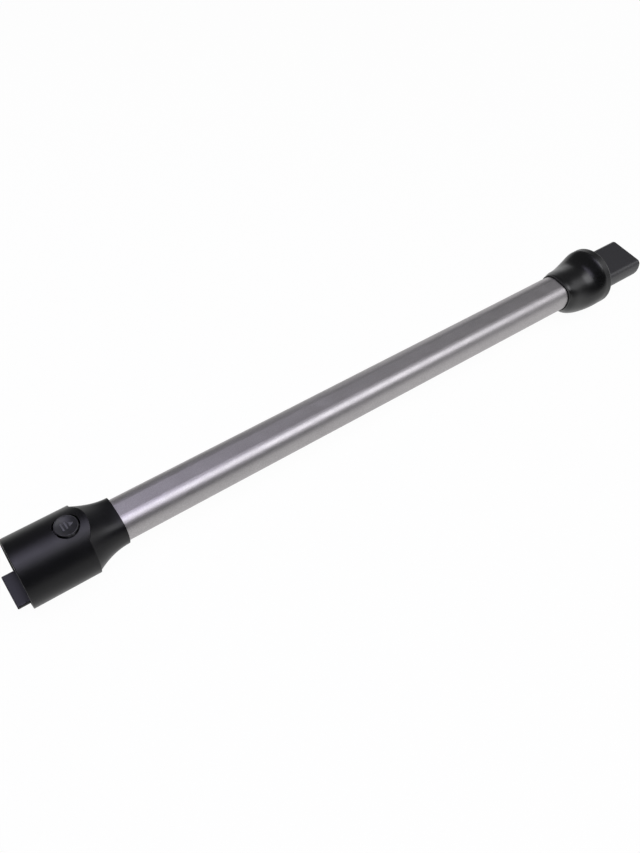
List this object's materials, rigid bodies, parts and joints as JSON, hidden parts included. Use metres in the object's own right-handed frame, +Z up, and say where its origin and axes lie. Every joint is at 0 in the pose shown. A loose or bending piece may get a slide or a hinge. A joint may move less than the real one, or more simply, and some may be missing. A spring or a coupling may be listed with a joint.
{
  "type": "vacuum cleaner tube",
  "caption": "Powered stick-vacuum wand: satin tube with a flat top, latching socket with release button and connector tongue, bell collar and D-shaped plug.",
  "frame": {"origin": "middle of the wand's length and width, on the surface it lies on", "axes": "+X along the wand from the socket towards the plug, +Z up through the release button"},
  "size_m": [0.6762, 0.0572, 0.058],
  "materials": {
    "tube_metal": "satin anodised",
    "satin_black": "satin moulded",
    "gloss_black": "glossy moulded",
    "lip_black": "matte moulded",
    "dark_grey": "fine matte texture",
    "button_grey": "matte with a worn rim",
    "liner_grey": "matte moulded",
    "latch_white": "natural acetal",
    "conduit_grey": "extruded",
    "lead_sheath": "flexible sheath",
    "seal_rubber": "soft",
    "contact_brass": "stamped",
    "steel": "plain"
  },
  "bodies": {
    "wand": {"wand_tube": "tube_metal", "socket_housing": "satin_black", "socket_liner": "liner_grey", "socket_gasket": "seal_rubber", "connector_block": "dark_grey", "contact_strip_left": "contact_brass", "contact_strip_right": "contact_brass", "button_spring": "steel", "latch_pin": "steel", "cable_conduit": "conduit_grey", "power_lead_left": "lead_sheath", "power_lead_right": "lead_sheath", "plug_collar": "gloss_black", "collar_lip_ring": "lip_black", "plug_body": "dark_grey", "contact_receptacle": "liner_grey", "contact_blade_left": "contact_brass", "contact_blade_right": "contact_brass", "socket_screw": "steel", "collar_screw": "steel"},
    "button": {"release_button": "button_grey"},
    "latch": {"latch_lever": "latch_white"}
  },
  "joints": [
    {"name": "button_slide", "type": "slide", "parent": "wand", "child": "button", "axis": [0, 0, -1], "range_m": [0, 0.0018], "stiffness_N_per_m": 400, "springref_m": -0.002, "deforming": ["button_spring"]},
    {"name": "latch_hinge", "type": "hinge", "parent": "wand", "child": "latch", "pos_m": [-0.30138, 0, 0.0527], "axis": [0, 1, 0], "range_deg": [0, 9.3]}
  ],
  "couplings": [
    {"joint": "latch_hinge", "follows": "button_slide", "rad_per_m": 89.286}
  ]
}
